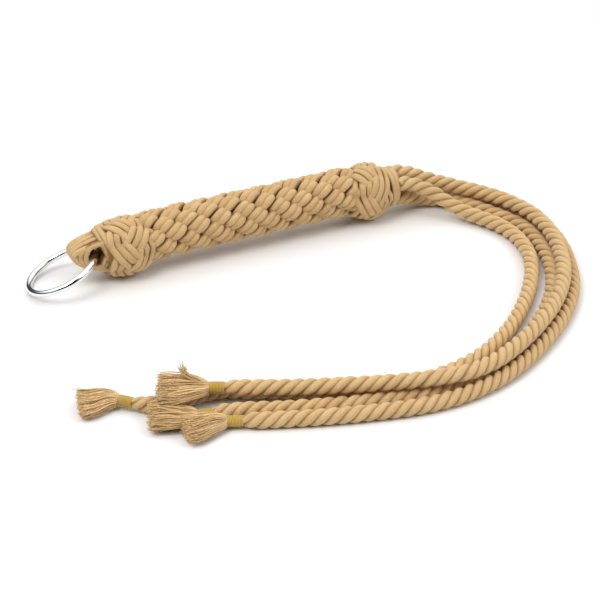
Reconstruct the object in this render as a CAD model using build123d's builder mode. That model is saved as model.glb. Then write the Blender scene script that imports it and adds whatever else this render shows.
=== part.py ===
from build123d import *
import os
from math import cos, pi, radians, sin, sqrt, tan

# A short rope quirt: a chromed ring in a corded eye, a plaited handle between two
# Turk's-head knots, and four three-strand tails that end in whipped tassels.
# Millimetres. The handle lies along +X, the floor is Z = 0, and the origin is the
# middle of the footprint of the ring and the handle together.

# ---- driving sizes: ring and eye ---------------------------------------------
ring_inner_diameter = 42.0
ring_wire_diameter = 4.5
ring_roll = 10.0              # sideways lean of the hinge line, degrees
ring_clearance = 0.4          # between the ring's wire and the eye's throat

eye_length = 22.0             # from the butt knot's face to the tip of the eye
eye_height = 35.0             # across the eye where it leaves the knot
eye_thickness = 19.0          # across the handle, along the hinge line
eye_tip_height = 8.0          # across the blunt tip
eye_tip_rise = 3.0            # the tip sits this much above the handle's axis
eye_bulge = 2.0               # how far the eye's two sides bow outwards
eye_edge_radius = 3.5
pin_to_knot = 6.0             # from the hinge line to the butt knot's face

# ---- driving sizes: knots, grip and collar -----------------------------------
knot_diameter = 40.0
knot_end_diameter = 30.0      # the knots' flat faces
butt_knot_length = 32.0
neck_knot_length = 30.0

grip_length = 142.0
core_clearance = 0.2          # between the core and all that lies round it
strand_count = 6
strand_diameter = 8.2
strand_gap = 0.37             # between neighbouring strands
strand_pitch = 82.0           # length of one whole left-handed turn

collar_length = 6.0
collar_diameter = 28.0

# ---- driving sizes: tails ----------------------------------------------------
rope_diameter = 10.0
rope_spread = 8.8             # from the handle's axis to each tail's centre
rope_exit_turn = 60.0         # place of the first tail round the axis, from +Y up
rope_exit_run = 8.0           # straight stretch out of the collar
whipping_length = 9.0
whipping_diameter = 7.4
corner_share = 0.45           # share of the shorter run that a corner's arc uses

# Each tail: its place round the collar, its route after the straight stretch, the
# middle of its tassel's cut end, and that end's width and height.
tails = {
    "inner": (
        1,
        [
            (153, -17.5, 18), (166, -30, 7), (186, -60, 5), (183, -98, 5),
            (158, -139, 5), (120, -177, 5), (80, -199, 5), (35, -203, 5),
            (-4, -190, 5), (-42, -173, 5), (-68, -158, 5), (-92, -162, 5),
            (-113, -156, 5), (-121, -147, 5),
        ],
        (-148, -138, 5), 17, 9,
    ),
    "low": (
        2,
        [
            (153, -2, 5.2), (170, -10, 5), (186, -37, 5), (198.5, -68, 5),
            (190, -110, 5), (168, -151, 5), (129, -186, 5), (88, -210, 5),
            (46, -217, 5), (3, -208, 5), (-38, -195, 5), (-66, -183, 5),
            (-86, -179, 5),
        ],
        (-116, -170, 5), 13, 9,
    ),
    "top": (
        0,
        [
            (158, -2, 19), (178, -15, 14.6), (198, -44, 14.2), (204, -80, 14.2),
            (190, -126, 14.2), (165, -164, 14.2), (121, -199, 14.2), (76, -221, 15.2),
            (40, -216, 15.6), (4, -202, 14.2), (-32, -187, 13.2), (-66, -171, 13.8),
        ],
        (-105, -152, 15), 18, 7,
    ),
    "outer": (
        3,
        [
            (160, 10, 5.2), (179, -1, 5), (199, -31, 5), (212, -68, 5),
            (202.5, -112, 5), (178, -159, 5), (134, -197, 5), (88, -222, 5),
            (44, -228, 5), (2, -219, 5), (-40, -206, 5), (-70, -193.5, 5),
        ],
        (-103, -189, 5.5), 13, 9,
    ),
}

# ---- places that follow from the sizes ---------------------------------------
ring_inner_radius = ring_inner_diameter / 2
wire_radius = ring_wire_diameter / 2
ring_radius = ring_inner_radius + wire_radius
axis_height = knot_diameter / 2

# The ring hangs from its hinge line and rests on the floor. Its rise and its roll
# give the slope of the line from the hinge to its centre: drop is the sine of that
# slope and level is the cosine.
roll = radians(ring_roll)
pin_rise = (axis_height - wire_radius) / ring_radius
drop = (pin_rise**2 - 1 + cos(roll) ** 2) / (2 * pin_rise * cos(roll))
level = sqrt(1 - drop**2)
ring_reach = 2 * ring_radius * level + wire_radius

# The strands lie side by side round the core, so their widths add up to the way
# round, measured square to them, and the core fills what is left inside.
way_round = strand_count * (strand_diameter + strand_gap)
lay_radius = way_round * strand_pitch / sqrt(strand_pitch**2 - way_round**2) / (2 * pi)
core_diameter = 2 * (lay_radius - core_clearance) - strand_diameter

handle_length = butt_knot_length + grip_length + neck_knot_length + collar_length
pin_x = (ring_reach - pin_to_knot - handle_length) / 2
butt_knot_x = pin_x + pin_to_knot
grip_x = butt_knot_x + butt_knot_length
neck_knot_x = grip_x + grip_length
collar_x = neck_knot_x + neck_knot_length
collar_end = collar_x + collar_length

pin = Vector(pin_x, ring_radius * drop * sin(roll), axis_height)
hinge_direction = Vector(0, cos(roll), -sin(roll))
ring_centre = pin - Vector(level, drop * sin(roll), drop * cos(roll)) * ring_radius
ring_normal = Vector(-drop, level * sin(roll), level * cos(roll))
handle_axis = Axis((0, 0, axis_height), (1, 0, 0))


# ---- helpers -----------------------------------------------------------------
def write(piece, name):
    """Label a finished piece and write its STEP file."""
    piece.part.label = name
    export_step(piece.part, f"parts/{name}.step")


def handle_plane(x):
    """A plane across the handle at x, facing +X, centred on the handle's axis."""
    return Plane(origin=(x, 0, axis_height), z_dir=(1, 0, 0))


def tube(start, length, outer, bore):
    """A plain sleeve round the handle's axis."""
    with BuildPart() as sleeve:
        with BuildSketch(handle_plane(start)):
            Circle(outer / 2)
            Circle(bore / 2, mode=Mode.SUBTRACT)
        extrude(amount=length)
    return sleeve


def barrel(start, length, bore):
    """A knot's body: a barrel round the handle's axis with a hole through it."""
    end_radius = knot_end_diameter / 2
    with BuildPart() as body:
        with BuildSketch(Plane.XZ):
            with BuildLine():
                crown = Spline(
                    (start, axis_height + end_radius),
                    (start + length / 2, axis_height + knot_diameter / 2),
                    (start + length, axis_height + end_radius),
                )
                Polyline(
                    crown @ 1,
                    (start + length, axis_height + bore / 2),
                    (start, axis_height + bore / 2),
                    crown @ 0,
                )
            make_face()
        revolve(axis=handle_axis)
    return body


def corner_radii(route):
    """The largest arc that each inner corner of a route has room for."""
    radii = []
    for before, corner, after in zip(route, route[1:], route[2:]):
        half_turn = radians((corner - before).get_angle(after - corner)) / 2
        shorter = min((corner - before).length, (after - corner).length)
        radii.append(corner_share * shorter / tan(half_turn))
    return radii


def full_route(quarter, points):
    """A tail's route: its exit, a straight stretch out of it, and its own points."""
    turn = radians(rope_exit_turn + 90 * quarter)
    rise = rope_spread * sin(turn)
    out = Vector(collar_end, rope_spread * cos(turn), axis_height + rise)
    return [out, out + Vector(rope_exit_run, 0, 0)] + [Vector(*point) for point in points]


os.makedirs("parts", exist_ok=True)

# ---- ring --------------------------------------------------------------------
with BuildPart() as ring:
    with Locations(Plane(origin=ring_centre, x_dir=hinge_direction, z_dir=ring_normal)):
        Torus(ring_radius, wire_radius)
write(ring, "ring")

# ---- ring eye ----------------------------------------------------------------
# A lobe that tapers away from the butt knot. Its hole narrows to a throat at the
# hinge line and widens to both sides along the ring's own curve, so that the bent
# wire can turn in it.
half_eye = eye_height / 2
tip_x = butt_knot_x - eye_length
tip_z = axis_height + eye_tip_rise
bore_reach = 0.75 * eye_thickness
bore_plane = Plane(origin=pin, x_dir=hinge_direction, z_dir=(0, sin(roll), cos(roll)))

with BuildPart() as ring_eye:
    with BuildSketch(Plane.XZ):
        with BuildLine():
            upper = SagittaArc(
                (butt_knot_x, axis_height + half_eye),
                (tip_x, tip_z + eye_tip_height / 2),
                -eye_bulge,
            )
            lower = SagittaArc(
                (tip_x, tip_z - eye_tip_height / 2),
                (butt_knot_x, axis_height - half_eye),
                -eye_bulge,
            )
            Line(upper @ 1, lower @ 0)
            Line(lower @ 1, upper @ 0)
        make_face()
    extrude(amount=eye_thickness / 2, both=True)
    root = ring_eye.faces().sort_by(Axis.X)[-1]
    rims = ring_eye.edges().filter_by(lambda edge: edge not in root.edges())
    fillet(rims, eye_edge_radius)
    with BuildSketch(bore_plane):
        Rectangle(2 * bore_reach, ring_inner_radius / 2, align=(Align.CENTER, Align.MIN))
        with Locations((0, ring_radius)):
            Circle(ring_inner_radius - ring_clearance, mode=Mode.SUBTRACT)
    revolve(axis=Axis(pin, hinge_direction), mode=Mode.SUBTRACT)
write(ring_eye, "ring_eye")

# ---- knots, core and collar --------------------------------------------------
knot_bore = core_diameter + 2 * core_clearance
write(barrel(butt_knot_x, butt_knot_length, knot_bore), "butt_knot")
write(barrel(neck_knot_x, neck_knot_length, knot_bore), "neck_knot")
write(tube(collar_x, collar_length, collar_diameter, knot_bore), "neck_collar")

with BuildPart() as handle_core:
    with BuildSketch(handle_plane(butt_knot_x)):
        Circle(core_diameter / 2)
    extrude(amount=handle_length)
write(handle_core, "handle_core")

# ---- plaited grip ------------------------------------------------------------
# Six left-handed strands wind round the core and are cut square at both knots.
overrun = strand_diameter

with BuildPart() as strand_pattern:
    with BuildLine() as winding:
        Helix(
            strand_pitch,
            grip_length + 2 * overrun,
            lay_radius,
            center=(-overrun, 0, 0),
            direction=(1, 0, 0),
            lefthand=True,
        )
    with BuildSketch(Plane(origin=winding.line @ 0, z_dir=winding.line % 0)):
        Circle(strand_diameter / 2)
    sweep(is_frenet=True)
    with BuildSketch(Plane.YZ):
        Circle(knot_diameter)
    extrude(amount=grip_length, mode=Mode.INTERSECT)

for number in range(strand_count):
    place = Location((grip_x, 0, axis_height), (360 * number / strand_count, 0, 0))
    with BuildPart() as strand:
        with Locations(place):
            add(strand_pattern.part)
    write(strand, f"plait_strand_{number + 1}")

# ---- tails, whippings and tassels --------------------------------------------
for name, (quarter, points, cut_end, cut_width, cut_height) in tails.items():
    route = full_route(quarter, points)
    radii = corner_radii(route)
    with BuildPart() as tail:
        with BuildLine() as path:
            FilletPolyline(*route, radius=radii)
        with BuildSketch(Plane(origin=route[0], z_dir=(1, 0, 0))):
            Circle(rope_diameter / 2)
        sweep()
    write(tail, f"tail_{name}")
    print(name, "length", round(path.wires()[0].length), "radii", [round(r) for r in radii])

    rope_end = route[-1]
    heading = (rope_end - route[-2]).normalized()
    with BuildPart() as whipping:
        with BuildSketch(Plane(origin=rope_end, z_dir=heading)):
            Circle(whipping_diameter / 2)
        extrude(amount=whipping_length)
    write(whipping, f"whipping_{name}")

    bound_end = rope_end + heading * whipping_length
    fan = Vector(*cut_end) - bound_end
    across = Vector(fan.Y, -fan.X, 0)
    with BuildPart() as tassel:
        with BuildSketch(Plane(origin=bound_end, x_dir=across, z_dir=heading)):
            Circle(whipping_diameter / 2)
        with BuildSketch(Plane(origin=cut_end, x_dir=across, z_dir=fan)):
            Ellipse(cut_width / 2, cut_height / 2)
        loft()
    write(tassel, f"tassel_{name}")
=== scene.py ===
"""Looks of a short rope quirt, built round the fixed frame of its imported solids.

Every piece is a surface worked out with numpy: a cord's outline carried along a path.
Lengths are metres in the frame's own axes unless a name or a docstring says millimetres.
"""
import logging
from dataclasses import dataclass, field
from enum import Enum
from typing import NamedTuple

import bpy
import numpy as np
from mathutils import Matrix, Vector


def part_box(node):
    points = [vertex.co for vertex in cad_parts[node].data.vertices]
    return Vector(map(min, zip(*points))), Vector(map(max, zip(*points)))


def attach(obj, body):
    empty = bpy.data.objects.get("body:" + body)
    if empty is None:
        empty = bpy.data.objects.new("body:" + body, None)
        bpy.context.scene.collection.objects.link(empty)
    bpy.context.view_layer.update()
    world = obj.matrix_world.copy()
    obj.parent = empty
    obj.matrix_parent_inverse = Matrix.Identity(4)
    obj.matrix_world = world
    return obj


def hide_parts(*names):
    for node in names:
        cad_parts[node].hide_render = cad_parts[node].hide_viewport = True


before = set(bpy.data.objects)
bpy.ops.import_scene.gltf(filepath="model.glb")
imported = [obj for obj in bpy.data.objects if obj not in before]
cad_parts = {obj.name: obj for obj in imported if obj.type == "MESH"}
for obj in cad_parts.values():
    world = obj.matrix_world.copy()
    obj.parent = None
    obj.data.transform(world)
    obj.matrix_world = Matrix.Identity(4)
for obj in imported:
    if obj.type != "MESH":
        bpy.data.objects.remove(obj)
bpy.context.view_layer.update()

log = logging.getLogger("quirt")

MM = 0.001
FULL_TURN = 2 * np.pi
AXIS = np.array([1.0, 0.0, 0.0])
LEVEL = np.array([0.0, 1.0, 0.0])
UP = np.array([0.0, 0.0, 1.0])

Colour = tuple[float, float, float]
Place = tuple[float, float, float]


class Slot(Enum):
    """The record's material slots."""

    CORD = "cotton_cord"
    HEART = "heart_cord"
    ROPE = "cotton_rope"
    THREAD = "whipping_thread"
    YARN = "tassel_yarn"


# ---- vectors and paths ---------------------------------------------------------
def unit(vectors: np.ndarray) -> np.ndarray:
    """Scale every vector on the last axis to length one."""
    return vectors / np.maximum(np.linalg.norm(vectors, axis=-1, keepdims=True), 1e-12)


def smooth_step(value: np.ndarray) -> np.ndarray:
    """Ease from 0 to 1: 3v squared less 2v cubed, with v held between 0 and 1."""
    held = np.clip(value, 0.0, 1.0)
    return held * held * (3.0 - 2.0 * held)


def travelled(path: np.ndarray) -> np.ndarray:
    """Distance along a path at each of its points: the running sum of its steps."""
    steps = np.linalg.norm(np.diff(path, axis=0), axis=1)
    return np.concatenate([[0.0], np.cumsum(steps)])


def headings(path: np.ndarray) -> np.ndarray:
    """Unit direction of a path at each point, from central differences."""
    return unit(np.gradient(path, axis=0))


def loop_headings(path: np.ndarray) -> np.ndarray:
    """Unit direction of a closed path at each point, from its two neighbours."""
    return unit(np.roll(path, -1, axis=0) - np.roll(path, 1, axis=0))


def even_steps(path: np.ndarray, step: float) -> np.ndarray:
    """Points at an even distance along a path.

    Args:
        path: points close together, one a row.
        step: the wanted distance between neighbours.

    Returns:
        New points on the same line, found by linear interpolation in distance.
    """
    along = travelled(path)
    count = max(3, int(round(along[-1] / step)) + 1)
    wanted = np.linspace(0.0, along[-1], count)
    return np.stack([np.interp(wanted, along, path[:, axis]) for axis in range(3)], axis=1)


def route_line(name: str, points: np.ndarray, step: float) -> np.ndarray:
    """Read the smooth line of a route from its NURBS curve.

    Args:
        name: a name for the passing curve.
        points: the route's control points in metres.
        step: the distance between the points given back.

    Returns:
        Evenly spaced points on the third-order NURBS curve through the route's ends.
    """
    curve = bpy.data.curves.new(name, "CURVE")
    curve.dimensions = "3D"
    spline = curve.splines.new("NURBS")
    spline.points.add(len(points) - 1)
    weighted = np.concatenate([points, np.ones((len(points), 1))], axis=1)
    spline.points.foreach_set("co", weighted.ravel())
    spline.order_u = 3
    spline.use_endpoint_u = True
    curve.resolution_u = spline.resolution_u = 32
    holder = bpy.data.objects.new(name, curve)
    line_mesh = bpy.data.meshes.new_from_object(holder)
    line = np.empty(len(line_mesh.vertices) * 3, dtype=np.float32)
    line_mesh.vertices.foreach_get("co", line)
    bpy.data.meshes.remove(line_mesh)
    bpy.data.objects.remove(holder)
    bpy.data.curves.remove(curve)
    return even_steps(line.reshape(-1, 3).astype(float), step)


def side_and_over(heading: np.ndarray) -> tuple[np.ndarray, np.ndarray]:
    """The level direction square to a heading, and the one square to both."""
    side = unit(np.cross(UP, heading))
    return side, np.cross(heading, side)


# ---- surfaces ------------------------------------------------------------------
@dataclass
class Surface:
    """Closed tubes gathered into one mesh, with a map in millimetres, a painted shade and a tone.

    The faces and their maps are kept by their number of corners, 4 along a tube and 3
    in the fans that close its ends.
    """

    points: list[np.ndarray] = field(default_factory=list)
    faces: dict[int, list[np.ndarray]] = field(default_factory=lambda: {4: [], 3: []})
    maps: dict[int, list[np.ndarray]] = field(default_factory=lambda: {4: [], 3: []})
    painted_shades: list[np.ndarray] = field(default_factory=list)
    tones: list[np.ndarray] = field(default_factory=list)
    total: int = 0

    @staticmethod
    def unrolled(grid: np.ndarray, closed: bool) -> np.ndarray:
        """Lay a tube's grid out flat.

        Args:
            grid: points, rows by columns by three.
            closed: whether the last row joins the first.

        Returns:
            Distance along the middle line and round the first ring from its open side,
            in millimetres, with one column more than the grid, and one row if closed.
        """
        middle = grid.mean(axis=1)
        along = travelled(np.concatenate([middle, middle[:1]]) if closed else middle)
        around = travelled(np.concatenate([grid[0], grid[0][:1]]))
        u, v = np.meshgrid(along / MM, (around - around[-1] / 2) / MM, indexing="ij")
        return np.stack([u, v], axis=-1)

    def add_tube(
        self, grid: np.ndarray, painted_shade: np.ndarray, tone: float = 0.5, closed: bool = False
    ) -> None:
        """Add one tube given as a grid of rings.

        Rows run along the tube and columns run once round it. Each end that is open
        is closed by a fan to the middle of its ring. The faces are turned outwards by
        the sign of the volume: the sum of each corner's product with its face.

        Args:
            grid: points, rows by columns by three.
            painted_shade: painted shade, 0 on open ground to 1 deep in the grooves, rows by
                columns.
            tone: the tube's own shade, 0 to 1.
            closed: whether the last row joins the first.
        """
        rows, columns = grid.shape[:2]
        index = np.arange(rows * columns).reshape(rows, columns)
        here = index if closed else index[:-1]
        below = np.roll(index, -1, axis=0) if closed else index[1:]
        quads = np.stack(
            [here, np.roll(here, -1, axis=1), np.roll(below, -1, axis=1), below], axis=-1
        ).reshape(-1, 4)
        cell = self.unrolled(grid, closed)
        quad_map = np.stack([cell[:-1, :-1], cell[:-1, 1:], cell[1:, 1:], cell[1:, :-1]], axis=2)
        fans, fan_map = [np.zeros((0, 3), int)], [np.zeros((0, 3, 2))]
        flat = grid.reshape(-1, 3)
        points, shade = [flat], [painted_shade.reshape(-1)]
        ends = () if closed else ((0, -1), (rows - 1, 1))
        for pole, (row, turn) in enumerate(ends, start=rows * columns):
            poles = np.full(columns, pole)
            fans.append(np.stack([poles, np.roll(index[row], turn), index[row]], axis=1))
            pole_map = np.full((columns, 2), [cell[row, 0, 0], 0.0])
            ring_map = cell[row, :-1]
            fan_map.append(np.stack([pole_map, np.roll(ring_map, turn, axis=0), ring_map], axis=1))
            points.append(grid[row].mean(axis=0, keepdims=True))
            shade.append(painted_shade[row].mean(keepdims=True))

        corner = flat[quads] - flat.mean(axis=0)
        volume = sum(
            np.einsum("ij,ij->i", corner[:, 0], np.cross(corner[:, a], corner[:, b])).sum()
            for a, b in ((1, 2), (2, 3))
        )
        way = -1 if volume < 0 else 1
        for sides, faces, placed in (
            (4, quads, quad_map.reshape(-1, 4, 2)),
            (3, np.concatenate(fans), np.concatenate(fan_map)),
        ):
            self.faces[sides].append(faces[:, ::way] + self.total)
            self.maps[sides].append(placed[:, ::way])
        self.points += points
        self.painted_shades += shade
        count = sum(map(len, points))
        self.tones.append(np.full(count, tone))
        self.total += count

    def make(self, name: str) -> bpy.types.Object:
        """Turn the gathered tubes into one smooth-shaded object at the origin.

        Args:
            name: the piece's name.

        Returns:
            The new object, linked to the scene.
        """
        groups = {sides: np.concatenate(found) for sides, found in self.faces.items()}
        corners = np.concatenate([group.ravel() for group in groups.values()])
        sizes = np.concatenate([np.full(len(group), sides) for sides, group in groups.items()])
        places = np.concatenate([np.concatenate(found).ravel() for found in self.maps.values()])
        mesh = bpy.data.meshes.new(name)
        mesh.vertices.add(self.total)
        mesh.vertices.foreach_set("co", np.concatenate(self.points).astype(np.float32).ravel())
        mesh.loops.add(len(corners))
        mesh.loops.foreach_set("vertex_index", corners.astype(np.int32))
        mesh.polygons.add(len(sizes))
        mesh.polygons.foreach_set("loop_start", (np.cumsum(sizes) - sizes).astype(np.int32))
        mesh.polygons.foreach_set("use_smooth", np.ones(len(sizes), dtype=bool))
        mesh.update(calc_edges=True)
        mesh.uv_layers.new(name="lie").data.foreach_set("uv", places.astype(np.float32))
        # the painted shade and the random tone, kept as point attributes
        for label, values in (("painted_shade", self.painted_shades), ("tone", self.tones)):
            layer = mesh.attributes.new(label, "FLOAT", "POINT")
            layer.data.foreach_set("value", np.concatenate(values).astype(np.float32))
        mesh.validate(clean_customdata=False)
        piece = bpy.data.objects.new(name, mesh)
        bpy.context.scene.collection.objects.link(piece)
        return piece


def cord_outline(columns: int) -> np.ndarray:
    """Angles round a cord, from its hidden side, past its open side and back."""
    return np.arange(columns) / columns * FULL_TURN - np.pi


def sweep(
    path: np.ndarray,
    outward: np.ndarray,
    side: np.ndarray,
    half_depth: np.ndarray | float,
    half_width: np.ndarray | float,
    columns: int,
) -> np.ndarray:
    """Carry an oval along a path.

    A point is the path plus half the depth times the cosine of its angle along the
    outward direction, plus half the width times its sine along the side direction.

    Args:
        path: the centre line, one point a row.
        outward: the direction of the cord's open side at each point.
        side: the direction across the cord at each point.
        half_depth: half the cord's size along outward, one number or one a row.
        half_width: half its size along side, one number or one a row.
        columns: how many points go round.

    Returns:
        A grid of rows by columns by three.
    """
    angle = cord_outline(columns)[None, :, None]
    depth = np.broadcast_to(half_depth, len(path))[:, None, None]
    width = np.broadcast_to(half_width, len(path))[:, None, None]
    return (
        path[:, None, :]
        + depth * np.cos(angle) * outward[:, None, :]
        + width * np.sin(angle) * side[:, None, :]
    )


def painted_groove_shade_mask(rows: int, columns: int, start: float = 0.85, end: float = 1.5) -> np.ndarray:
    """Painted shade for each point of a cord, by how deep it lies between its neighbours.

    Args:
        rows: points along the cord.
        columns: points round it.
        start: the angle from the open side, in radians, where the shade begins.
        end: the angle where it is whole.

    Returns:
        0 to 1, rows by columns, by a smooth step over the angle.
    """
    turn = np.abs(cord_outline(columns))
    return np.broadcast_to(smooth_step((turn - start) / (end - start)), (rows, columns)).copy()


# ---- finishes ------------------------------------------------------------------
def set_inputs(node: bpy.types.Node, **values: object) -> None:
    """Set a node's sockets by name, with underscores standing for spaces."""
    for key, value in values.items():
        node.inputs[key.replace("_", " ")].default_value = value


@dataclass
class Graph:
    """A node tree, with short calls that add nodes and join them."""

    tree: bpy.types.NodeTree

    def add(
        self,
        kind: str,
        feeds: dict[str | int, bpy.types.NodeSocket] | None = None,
        operation: str = "",
        **values: object,
    ) -> bpy.types.Node:
        """Add a node.

        Args:
            kind: its type, without the word ShaderNode in front.
            feeds: the sockets that it is fed from, by input.
            operation: its operation, where it has one.
            **values: constants by input, as in set_inputs.

        Returns:
            The new node.
        """
        node = self.tree.nodes.new(f"ShaderNode{kind}")
        if operation:
            node.operation = operation
        set_inputs(node, **values)
        for key, socket in (feeds or {}).items():
            self.tree.links.new(socket, node.inputs[key])
        return node

    def attribute(self, name: str) -> bpy.types.NodeSocket:
        """Read one of the mesh's own attributes.

        Args:
            name: the attribute's name.

        Returns:
            The socket with its value.
        """
        node = self.add("Attribute")
        node.attribute_name = name
        return node.outputs["Fac"]

    def weigh(
        self, first: bpy.types.NodeSocket, weight: float, second: bpy.types.NodeSocket
    ) -> bpy.types.NodeSocket:
        """Multiply the first socket by a weight and add the second.

        Args:
            first: the socket that is multiplied.
            weight: what it is multiplied by.
            second: the socket that is added.

        Returns:
            The socket with the sum.
        """
        node = self.add("Math", {0: first, 2: second}, "MULTIPLY_ADD")
        node.inputs[1].default_value = weight
        return node.outputs["Value"]

    def spread(
        self, value: bpy.types.NodeSocket, source: tuple[float, float], target: tuple[float, float]
    ) -> bpy.types.NodeSocket:
        """Map a socket's range onto another, held at both ends."""
        limits = dict(From_Min=source[0], From_Max=source[1], To_Min=target[0], To_Max=target[1])
        return self.add("MapRange", {"Value": value}, **limits).outputs["Result"]

    def blend(
        self,
        factor: bpy.types.NodeSocket,
        first: bpy.types.NodeSocket | Colour,
        second: Colour,
    ) -> bpy.types.NodeSocket:
        """Mix a colour or a colour socket with a second colour.

        Args:
            factor: how far it goes to the second, 0 to 1.
            first: a colour or a colour socket.
            second: a colour.

        Returns:
            The socket with the mixed colour.
        """
        node = self.add("Mix")
        node.data_type = "RGBA"
        node.inputs["B"].default_value = (*second, 1.0)
        if isinstance(first, tuple):
            node.inputs["A"].default_value = (*first, 1.0)
        else:
            self.tree.links.new(first, node.inputs["A"])
        self.tree.links.new(factor, node.inputs["Factor"])
        return node.outputs["Result"]

    def object_noise(self, scale: float, detail: float, roughness: float) -> bpy.types.NodeSocket:
        """Noise over the object's own coordinates.

        Args:
            scale: how fine the noise is.
            detail: how many finer layers it has.
            roughness: how strong those layers are.

        Returns:
            The socket with the noise.
        """
        place = self.add("TexCoord").outputs["Object"]
        look = dict(Scale=scale, Detail=detail, Roughness=roughness)
        return self.add("TexNoise", {"Vector": place}, **look).outputs["Fac"]


@dataclass(frozen=True)
class Cotton:
    """Soft cotton: fine fibres along the lie, broad cloudy tones and painted shade in its grooves.
    """

    name: str
    light: Colour
    deep: Colour
    # the colour of the painted shade in the grooves
    painted_groove_shade: Colour
    roughness: float = 0.85
    fibre_slant: float = 0.35
    fibre_size: float = 0.55
    fibre_stretch: float = 0.16
    bump_height: float = 0.00045
    plait_size: float = 0.0

    def material(self) -> bpy.types.Material:
        """Build the finish.

        The colour mixes light and deep by fibre noise, cloud noise and each cord's own
        tone, then goes to the dark colour of the painted shade by the attribute that holds
        the painted shade of the grooves. The relief is the fibre noise, with two crossing
        waves where the cord is braided.

        Returns:
            The node material.
        """
        made = bpy.data.materials.new(self.name)
        made.use_nodes = True
        graph = Graph(made.node_tree)
        shader = graph.tree.nodes["Principled BSDF"]
        set_inputs(shader, Roughness=self.roughness, Specular_IOR_Level=0.15)
        set_inputs(shader, Sheen_Weight=0.25, Sheen_Roughness=0.5)
        lie = graph.add("UVMap")
        lie.uv_map = "lie"
        flat = lie.outputs["UV"]
        combed = graph.add("Mapping", {"Vector": flat}, Rotation=(0.0, 0.0, self.fibre_slant))
        drawn = graph.add(
            "Mapping", {"Vector": combed.outputs["Vector"]}, Scale=(self.fibre_stretch, 1.0, 1.0)
        )
        noise = dict(Scale=1.0 / self.fibre_size, Detail=3.0, Roughness=0.6)
        fibres = graph.add("TexNoise", {"Vector": drawn.outputs["Vector"]}, **noise).outputs["Fac"]
        clouds = graph.object_noise(110.0, 2.0, 0.5)
        shade = graph.weigh(graph.attribute("tone"), 0.8, graph.weigh(fibres, 1.3, clouds))
        depth = graph.spread(shade, (1.0, 2.1), (1.0, 0.0))
        ground = graph.blend(depth, self.light, self.deep)
        # painted shade: the colour goes dark in the grooves between cords
        painted_sunk_shade = graph.blend(graph.attribute("painted_shade"), ground, self.painted_groove_shade)
        graph.tree.links.new(painted_sunk_shade, shader.inputs["Base Color"])
        relief = self.braid_relief(graph, flat, fibres) if self.plait_size > 0 else fibres
        bump = graph.add("Bump", {"Height": relief}, Strength=1.0, Distance=self.bump_height)
        graph.tree.links.new(bump.outputs["Normal"], shader.inputs["Normal"])
        return made

    def braid_relief(
        self, graph: Graph, flat: bpy.types.NodeSocket, fibres: bpy.types.NodeSocket
    ) -> bpy.types.NodeSocket:
        """Relief of a fine braid: the higher of two waves that cross, plus the fibres.

        Args:
            graph: the material's nodes.
            flat: the cord's own map.
            fibres: the fibre noise to add.

        Returns:
            The socket that holds the height.
        """
        waves = {}
        for number, slant in enumerate((0.7, -0.7)):
            turned = graph.add("Mapping", {"Vector": flat}, Rotation=(0.0, 0.0, slant))
            look = dict(Scale=1.0 / (self.plait_size * np.pi), Distortion=1.5, Detail=1.0)
            wave = graph.add("TexWave", {"Vector": turned.outputs["Vector"]}, **look)
            waves[number] = wave.outputs["Fac"]
        crossed = graph.add("Math", waves, "MAXIMUM")
        return graph.weigh(crossed.outputs["Value"], 0.45, fibres)


@dataclass(frozen=True)
class Chrome:
    """Bright plated steel with faint rubbing."""

    name: str
    colour: Colour = (0.86, 0.87, 0.88)

    def material(self) -> bpy.types.Material:
        """Build the finish: a metal whose roughness varies a little with noise.

        Returns:
            The finish, ready for a piece.
        """
        made = bpy.data.materials.new(self.name)
        made.use_nodes = True
        graph = Graph(made.node_tree)
        shader = graph.tree.nodes["Principled BSDF"]
        set_inputs(shader, Metallic=1.0, Base_Color=(*self.colour, 1.0))
        rub = graph.spread(graph.object_noise(260.0, 4.0, 0.6), (0.3, 0.7), (0.03, 0.10))
        graph.tree.links.new(rub, shader.inputs["Roughness"])
        return made


CORD_COTTON = Cotton(
    "soft_tan_cord",
    light=(0.75, 0.515, 0.25),
    deep=(0.58, 0.365, 0.155),
    painted_groove_shade=(0.32, 0.15, 0.042),
    plait_size=1.1,
)
ROPE_COTTON = Cotton(
    "tan_rope_strand",
    light=(0.78, 0.545, 0.27),
    deep=(0.60, 0.38, 0.165),
    painted_groove_shade=(0.40, 0.205, 0.065),
    fibre_slant=0.45,
    fibre_size=0.42,
    fibre_stretch=0.1,
    bump_height=0.0006,
)
# the heart's colours are the cord's darkened: painted shade for cords seen only through the plait's
# gaps
HEART_COTTON_IN_PAINTED_SHADE = Cotton(
    "shaded_heart_cord",
    light=(0.42, 0.24, 0.095),
    deep=(0.30, 0.16, 0.06),
    painted_groove_shade=(0.16, 0.07, 0.02),
)
THREAD_COTTON = Cotton(
    "olive_yellow_thread",
    light=(0.66, 0.45, 0.10),
    deep=(0.48, 0.31, 0.055),
    painted_groove_shade=(0.30, 0.17, 0.025),
    roughness=0.6,
    fibre_slant=1.5,
    fibre_size=0.3,
    bump_height=0.00015,
)
YARN_COTTON = Cotton(
    "golden_tan_yarn",
    light=(0.84, 0.60, 0.315),
    deep=(0.64, 0.42, 0.185),
    painted_groove_shade=(0.34, 0.17, 0.05),
    fibre_size=0.3,
    bump_height=0.0001,
)


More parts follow.
